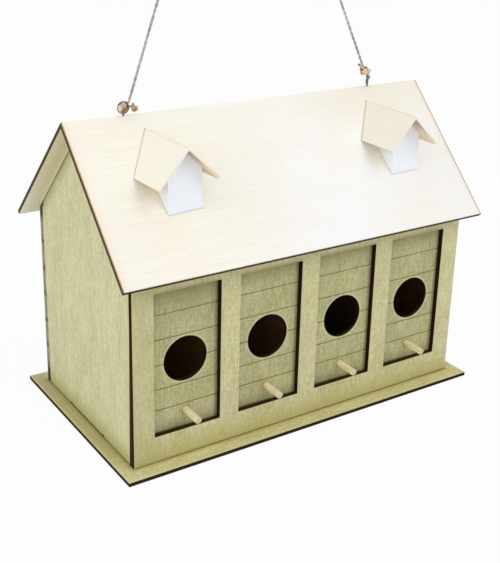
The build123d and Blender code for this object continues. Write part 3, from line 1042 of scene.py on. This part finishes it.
# Dormers: thin cream boards on white blocks
dormer = {
    # each side's board colours, and the painted shade of its underside away from the ridge
    "left": {"boards": ((248, 243, 226), (251, 247, 231)), "farEndShade": (221, 201, 167)},
    "right": {"boards": ((240, 235, 217), (244, 240, 223)), "farEndShade": (232, 212, 178)},
    "grain": {"streakLength": 0.03, "streakWidth": 0.0014, "mottleSize": 0.004},
    "ridgeLine": (0.9, 0.3, 0.45, (226, 206, 176)),
    # painted shade on the boards' undersides, darkest under the ridge
    "underRidgeShade": (176, 160, 146),
    "eaveCut": (0.8, (226, 202, 166)),
    "leftFrontCut": (0.7, (248, 240, 222)),
    "rightFrontCut": ((250, 236, 218), (234, 210, 180)),
    # painted shade on the right board's front cut and a painted contact shadow along the roof
    "dim": (0.7, 1.3, 0.85, (170, 150, 136)),
    "boardContactShade": (1.3, 0.4, 0.7, (164, 156, 136)),
    "white": ((240, 244, 254), (247, 251, 255)),
    # painted shade under the eaves and a painted contact shadow along the roof
    "whiteUnderEaveShade": (5, 1, 0.6, (196, 188, 182)),
    "whiteContactShade": (1.2, 0.4, 0.45, (170, 172, 172)),
}


def aboveRoof(place):
    # height over the front roof board's top face
    moved = vectorCalc("SUBTRACT", place, (0, ridgeY, ridgeZ))
    return vectorCalc("DOT_PRODUCT", moved, (0, -sin(house["roofPitch"]), cos(house["roofPitch"])))


def depthIn(node, place):
    # how deep in a board a place is, from the board's upper face
    upper = max(nodes[node].data.polygons, key=lambda face: face.area * (face.normal.z > 0.3))
    into = vectorCalc("SUBTRACT", tuple(upper.center), place)
    return vectorCalc("DOT_PRODUCT", into, tuple(upper.normal))


def dormerBoard(node, side, hand):
    # tan cut edges, an underside with painted shade, darkest near the ridge, painted shade on the right
    # board's front cut near the ridge, and a painted contact shadow where it meets the roof
    material, shader, coords = newMaterial(f"dormerPly_{node}", 0.6, 0.3)
    place, facing = coords["Object"], split(coords["Normal"])
    grain = useGroup("grain", vector=turnPlace(place, (0, 0, radians(90))), **dormer["grain"])
    colour = mixColour(step(grain["Streaks"], 0.3, 0.7), *dormer[side]["boards"])
    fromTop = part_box(node)[1].z - split(place).z
    colour = colourLayer(colour, dormer["ridgeLine"], fromTop)
    outward = facing.x * (-1.0 if hand == "left" else 1.0)
    below = step(facing.z, -0.3, -0.4)
    shaded = mixColour(step(fromTop, 3 * mm, 15 * mm), dormer["underRidgeShade"], dormer[side]["farEndShade"])
    colour = tint(colour, below * step(outward, -0.3, -0.4), 0.95, shaded)
    colour = tint(colour, below * step(outward, 0.3, 0.4), *dormer["eaveCut"])
    frontCut = step(facing.y, -0.7, -0.9)
    if hand == "left":
        colour = tint(colour, frontCut, *dormer["leftFrontCut"])
    else:
        lower = mixColour(step(fromTop, 9 * mm, 20 * mm), *dormer["rightFrontCut"])
        colour = tint(colour, frontCut, 0.85, lower)
        nearRidge = step(fromTop, 20 * mm, 8 * mm)
        colour = colourLayer(colour, dormer["dim"], depthIn(node, place), frontCut, nearRidge)
    feed(shader["Base Color"], colourLayer(colour, dormer["boardContactShade"], aboveRoof(place)))
    addBump(shader, grain["Height"], 0.15, 0.0002)
    return material


def whitePaint(node):
    material, shader, coords = newMaterial(f"dormerWhite_{node}", 0.55, 0.3)
    place = coords["Object"]
    brushed = noise(place, 260.0, 3.0, 0.6)
    colour = mixColour(step(brushed, 0.3, 0.7) * 0.5 + noise(place, 45.0) * 0.5, *dormer["white"])
    # painted shade near the top under the eaves, and a painted contact shadow along the foot on the roof
    colour = colourLayer(colour, dormer["whiteUnderEaveShade"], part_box(node)[1].z - split(place).z)
    feed(shader["Base Color"], colourLayer(colour, dormer["whiteContactShade"], aboveRoof(place)))
    addBump(shader, brushed, 0.15, 0.0002)
    return material


def darkSteel():
    material, shader, coords = newMaterial("darkSteel", 0.35, 0.5)
    shader["Metallic"].default_value = 1.0
    tarnish = step(noise(coords["Object"], 900.0, 3.0, 0.6), 0.35, 0.65)
    feed(shader["Base Color"], mixColour(tarnish, (78, 73, 62), (138, 131, 116)))
    feed(shader["Roughness"], tarnish * -0.15 + 0.45)
    addBump(shader, tarnish, 0.1, 0.00005)
    return material


# Places on the knots, in millimetres, where the twine is laid browner or paler: painted shade in the brown
# and dark spots, painted highlights in the pale ones, with their reach and colour
knotLightAndShade = [
    ((-114.6, -0.8, 244.9), 3.4, (140, 100, 62)), ((-115.6, -0.4, 243.0), 1.9, (56, 42, 20)),
    ((-118.2, -0.5, 247.4), 3.2, (248, 232, 212)), ((-112.4, -1.0, 246.6), 2.0, (142, 106, 92)),
    ((-105.0, 0.6, 243.6), 2.8, (150, 112, 76)), ((-106.4, 1.0, 249.0), 1.8, (156, 128, 116)),
    ((103.8, -1.2, 254.4), 3.8, (252, 230, 206)), ((103.2, -0.6, 258.2), 1.8, (158, 118, 86)),
    ((97.2, 0.4, 260.4), 1.6, (152, 124, 114)), ((110.6, 1.2, 248.0), 2.2, (140, 138, 112)),
]


def jute(name, light, dark, spots=()):
    material, shader, coords = newMaterial(name, 0.9, 0.15)
    place = coords["Object"]
    fibre = result(place.tree, "ShaderNodeUVMap", uv_map="fibre")
    strandsTone = step(noise(vectorCalc("MULTIPLY", fibre, (26.0, 1.2, 1.0)), 1.0, 3.0, 0.6), 0.3, 0.7)
    blotch = step(noise(place, 260.0), 0.35, 0.65)
    colour = mixColour(strandsTone * 0.45 + blotch * 0.55, dark, light)
    for middle, reach, shade in spots:
        away = vectorCalc("DISTANCE", place, tuple(value * mm for value in middle))
        colour = colourLayer(colour, (reach, reach * 0.3, 0.85, shade), away)
    feed(shader["Base Color"], colour)
    addBump(shader, strandsTone, 0.5, 0.0002)
    return material


def fuzzLook():
    material, shader, coords = newMaterial("juteFuzz", 0.95, 0.1)
    tone = step(noise(coords["Object"], 400.0), 0.35, 0.65)
    feed(shader["Base Color"], mixColour(tone, (176, 160, 134), (222, 210, 188)))
    return material


finishes = {
    "barePly": plainWood("barePly", (180, 138, 92), (131, 98, 63), (0, radians(90), 0)),
    # a darker copy of the bare ply, painted shade inside the box
    "shadedBarePly": plainWood("shadedBarePly", (101, 77, 48), (72, 53, 32), (0, radians(90), 0)),
    "dowel": plainWood("dowel", (255, 247, 210), (230, 204, 154), (0, 0, radians(90)), 0.006, 0.0006,
                       endGrain=(230, 204, 176)),
    "steel": darkSteel(),
    "strand": jute("juteStrand", (214, 207, 198), (146, 139, 130)),
    "knot": jute("juteKnot", (244, 224, 198), (166, 136, 108), knotLightAndShade),
    "fuzz": fuzzLook(),
}


def dress(node, material):
    if not nodes[node].material_slots:
        nodes[node].data.materials.append(material)
    for slot in nodes[node].material_slots:
        slot.material = material


for node in sheets:
    dress(node, paintedPly(node))
dress("roof_front", roofPly("roof_front", 1))
dress("roof_rear", roofPly("roof_rear", -1))
for number in (1, 2, 3):
    # the third divider gets a darker copy of the bare ply: painted shade inside the box
    dress(f"divider_{number}", finishes["shadedBarePly" if number == 3 else "barePly"])
for side in ("left", "right"):
    dress(f"ridge_block_{side}", finishes["barePly"])
    dress(f"dormer_body_{side}", whitePaint(f"dormer_body_{side}"))
    for hand in ("left", "right"):
        node = f"dormer_{side}_roof_{hand}"
        dress(node, dormerBoard(node, side, hand))
print("wood is finished")

# Perches: one dowel with eased ends, set in each bay
perch = {
    "radius": 2.6,
    "easing": 0.45,
    "rings": 120,
    "sides": 40,
    "wobble": 0.05,              # a hand-cut dowel is never quite round
    "wobbleScale": 260.0,
    "wobbleMiddle": 0.62,        # noise that moves nothing
    "seed": 4,
}


def newTree(name, inputs, build):
    # a Geometry Nodes tree with named inputs and the values that they start at
    kinds = {int: "Int", float: "Float"}
    tree = bpy.data.node_groups.new(name, "GeometryNodeTree")
    tree.interface.new_socket("Geometry", in_out="INPUT", socket_type="NodeSocketGeometry")
    for label, start in inputs.items():
        kind = kinds.get(type(start), "Material")
        socket = tree.interface.new_socket(label, in_out="INPUT", socket_type=f"NodeSocket{kind}")
        socket.default_value = start
    tree.interface.new_socket("Geometry", in_out="OUTPUT", socket_type="NodeSocketGeometry")
    given = outputsOf(tree, tree.nodes.new("NodeGroupInput"))
    made = result(tree, "GeometryNodeSetMaterial", {
        "Geometry": build(tree, given), "Material": given["Material"]})
    addNode(tree, "NodeGroupOutput", {"Geometry": made})
    return tree


def fromNodes(name, mesh, tree, values):
    # runs the tree on a mesh and keeps the result as a plain mesh
    holder = newPiece(name + "Maker", mesh)
    modifier = holder.modifiers.new(name, "NODES")
    modifier.node_group = tree
    for item in tree.interface.items_tree:
        if item.in_out == "INPUT" and item.name in values:
            modifier[item.identifier] = values[item.name]
    bpy.context.view_layer.update()
    graph = bpy.context.evaluated_depsgraph_get()
    made = bpy.data.meshes.new_from_object(holder.evaluated_get(graph))
    bpy.data.objects.remove(holder)
    made.name = name
    return newPiece(name, made)


def buildPerches(tree, given):
    # the dowel's side as a line whose radius is eased at both ends
    length, easing = given["Length"], given["Easing"]
    start = result(tree, "ShaderNodeCombineXYZ")
    end = result(tree, "ShaderNodeCombineXYZ", {1: length * -1.0})
    line = result(tree, "GeometryNodeCurvePrimitiveLine", {"Start": start, "End": end})
    line = result(tree, "GeometryNodeResampleCurve", {"Curve": line, "Count": perch["rings"]}, mode="COUNT")
    along = result(tree, "GeometryNodeSplineParameter", output="Length")
    share = calc("SUBTRACT", 1.0, calc("MINIMUM", along, length - along) / easing, clamp=True)
    eased = calc("SQRT", calc("SUBTRACT", 1.0, share * share, clamp=True))
    size = given["Radius"] - easing * (1.0 - eased)
    spread = result(tree, "GeometryNodeSetCurveRadius", {"Curve": line, "Radius": size})
    circle = result(tree, "GeometryNodeCurvePrimitiveCircle", {"Resolution": given["Sides"], "Radius": 1.0},
                    mode="RADIUS")
    tube = result(tree, "GeometryNodeCurveToMesh", {
        "Curve": spread, "Profile Curve": circle, "Scale": result(tree, "GeometryNodeInputRadius"),
        "Fill Caps": True})
    places = result(tree, "GeometryNodeMeshLine", {
        "Count": given["Count"], "Offset": result(tree, "ShaderNodeCombineXYZ", {0: given["Pitch"]})},
        mode="OFFSET")
    turn = result(tree, "FunctionNodeRandomValue", {2: 0.0, 3: 2 * pi, "Seed": given["Seed"]}, 1,
                  data_type="FLOAT")
    row = result(tree, "GeometryNodeInstanceOnPoints", {
        "Points": places, "Instance": tube,
        "Rotation": result(tree, "ShaderNodeCombineXYZ", {1: turn})})
    real = result(tree, "GeometryNodeRealizeInstances", (row,))
    rough = result(tree, "ShaderNodeTexNoise", {
        "Vector": result(tree, "GeometryNodeInputPosition"), "Scale": perch["wobbleScale"]}, "Fac")
    push = (rough - perch["wobbleMiddle"]) * (given["Wobble"] * given["Radius"])
    outward = result(tree, "GeometryNodeInputNormal")
    moved = result(tree, "ShaderNodeVectorMath", {0: outward, "Scale": push}, operation="SCALE")
    return result(tree, "GeometryNodeSetPosition", {"Geometry": real, "Offset": moved})


def makePerches():
    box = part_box("perch_1")
    values = {
        "Count": 4,
        "Pitch": house["bayPitch"],
        "Radius": perch["radius"] * mm,
        "Length": box[1].y - box[0].y,
        "Easing": perch["easing"] * mm,
        "Sides": perch["sides"],
        "Wobble": perch["wobble"],
        "Seed": perch["seed"],
        "Material": finishes["dowel"],
    }
    tree = newTree("perchRow", values, buildPerches)
    piece = fromNodes("perches", bpy.data.meshes.new("perchesStart"), tree, values)
    middle = (box[0] + box[1]) / 2
    piece.data.transform(Matrix.Translation((middle.x, box[1].y, middle.z)))
    for face in piece.data.polygons:
        face.use_smooth = abs(face.normal.y) < 0.9
    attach(piece, "root")
    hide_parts("perch_1", "perch_2", "perch_3", "perch_4")


makePerches()
print("perches are set")

# Loose fibres that stand off the twine
fuzz = {
    "perArea": 0.9e6,
    "length": 1.3 * mm,
    "shortest": 0.35,            # share of the length
    "radius": 0.035 * mm,
    "tipRadius": 0.004 * mm,
    "lean": 1.0,
    "seed": 12,
}


def buildFuzz(tree, given):
    seed = given["Seed"]
    spread = outputsOf(tree, addNode(tree, "GeometryNodeDistributePointsOnFaces", {
        "Mesh": given["Geometry"], "Density": given["Density"], "Seed": seed}))
    hair = result(tree, "GeometryNodeMeshCone", {
        "Vertices": 3, "Side Segments": 1, "Depth": given["Length"], "Radius Top": fuzz["tipRadius"],
        "Radius Bottom": given["Radius"]}, "Mesh", fill_type="NGON")
    lean = result(tree, "FunctionNodeRandomValue", {
        0: (-1.0, -1.0, -1.0), 1: (1.0, 1.0, 1.0), "Seed": seed}, data_type="FLOAT_VECTOR")
    lean = result(tree, "ShaderNodeVectorMath", {0: lean, "Scale": given["Lean"]}, operation="SCALE")
    size = result(tree, "FunctionNodeRandomValue", {2: fuzz["shortest"], 3: 1.0, "Seed": seed}, 1,
                  data_type="FLOAT")
    placed = result(tree, "GeometryNodeInstanceOnPoints", {
        "Points": spread["Points"], "Instance": hair,
        "Rotation": result(tree, "FunctionNodeRotateRotation", (spread["Rotation"], lean)), "Scale": size})
    return result(tree, "GeometryNodeRealizeInstances", (placed,))


fuzzInputs = {
    "Density": fuzz["perArea"], "Length": fuzz["length"], "Radius": fuzz["radius"], "Lean": fuzz["lean"],
    "Seed": fuzz["seed"], "Material": finishes["fuzz"]}
fuzzMaker = newTree("fuzz", fuzzInputs, buildFuzz)


def makeFuzz(name, pieces, seed):
    return fromNodes(name, joinMeshes(name + "Skin", pieces), fuzzMaker, {**fuzzInputs, "Seed": seed})


for side, made in cords.items():
    made["cord"].data.materials.append(finishes["strand"])
    made["end"].data.materials.append(finishes["knot"])
    knots[side].data.materials.append(finishes["knot"])
    screwEyes[side].data.materials.append(finishes["steel"])
    hairs = makeFuzz(f"fuzz{side.capitalize()}", [made["cord"], knots[side]], fuzz["seed"] + len(side))
    for piece, node, slot in ((made["cord"], f"twine_{side}", "jute"),
                              (made["end"], f"twine_end_{side}", "jute"),
                              (knots[side], f"twine_knot_{side}", "jute"),
                              (screwEyes[side], f"screw_eye_{side}", "eye_steel")):
        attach(piece, "root")
        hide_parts(node)
    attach(hairs, "root")

# Stage: pale floor, soft lamps and a white room
stage = {
    "floorSize": 12.0,
    "floorColour": (0.95, 0.95, 0.95, 1),
    "floorGlow": 0.93,
    "roomLevel": 0.71,
    "aim": (0, 0, 0.12),
    "keyPower": 10.4,
    "keyPlace": (0.5, -1.3, 1.7),
    "keySize": 1.3,
    "fillPower": 5.8,
    "fillPlace": (-1.7, -0.2, 0.9),
    "fillSize": 1.2,
}


def seenDirectly(tree):
    # 1 where the camera sees a thing, also in a gloss or through glass
    rays = outputsOf(tree, tree.nodes.new("ShaderNodeLightPath"))
    mirrored = calc("MAXIMUM", rays["Is Glossy Ray"], rays["Is Transmission Ray"])
    return calc("MAXIMUM", rays["Is Camera Ray"], mirrored)


def makeFloor():
    half = stage["floorSize"] / 2
    mesh = bpy.data.meshes.new("floor")
    corners = [(-half, -half, 0), (half, -half, 0), (half, half, 0), (-half, half, 0)]
    mesh.from_pydata(corners, [], [(0, 1, 2, 3)])
    floor = newPiece("floor", mesh)
    material = bpy.data.materials.new("floor")
    material.use_nodes = True
    tree = material.node_tree
    tree.nodes.clear()
    matte = result(tree, "ShaderNodeBsdfDiffuse", {"Color": stage["floorColour"]})
    glow = result(tree, "ShaderNodeEmission")
    blend = result(tree, "ShaderNodeMixShader", (seenDirectly(tree) * stage["floorGlow"], matte, glow))
    addNode(tree, "ShaderNodeOutputMaterial", (blend,))
    mesh.materials.append(material)


def makeRoom():
    world = bpy.data.worlds.new("room")
    world.use_nodes = True
    scene.world = world
    background = world.node_tree.nodes["Background"].inputs
    background["Color"].default_value = (1, 1, 1, 1)
    level = stage["roomLevel"]
    feed(background["Strength"], seenDirectly(world.node_tree) * (1 - level) + level)


def makeLamp(name):
    data = bpy.data.lights.new(f"{name}Lamp", "AREA")
    data.shape = "DISK"
    data.size = stage[f"{name}Size"]
    data.energy = stage[f"{name}Power"]
    place = stage[f"{name}Place"]
    aim = Vector(stage["aim"]) - Vector(place)
    lamp = newPiece(f"{name}Lamp", data)
    lamp.matrix_world = Matrix.Translation(place) @ aim.to_track_quat("-Z", "Y").to_matrix().to_4x4()


makeFloor()
makeRoom()
makeLamp("key")
makeLamp("fill")
scene.view_settings.view_transform = "Standard"
print("stage is lit")
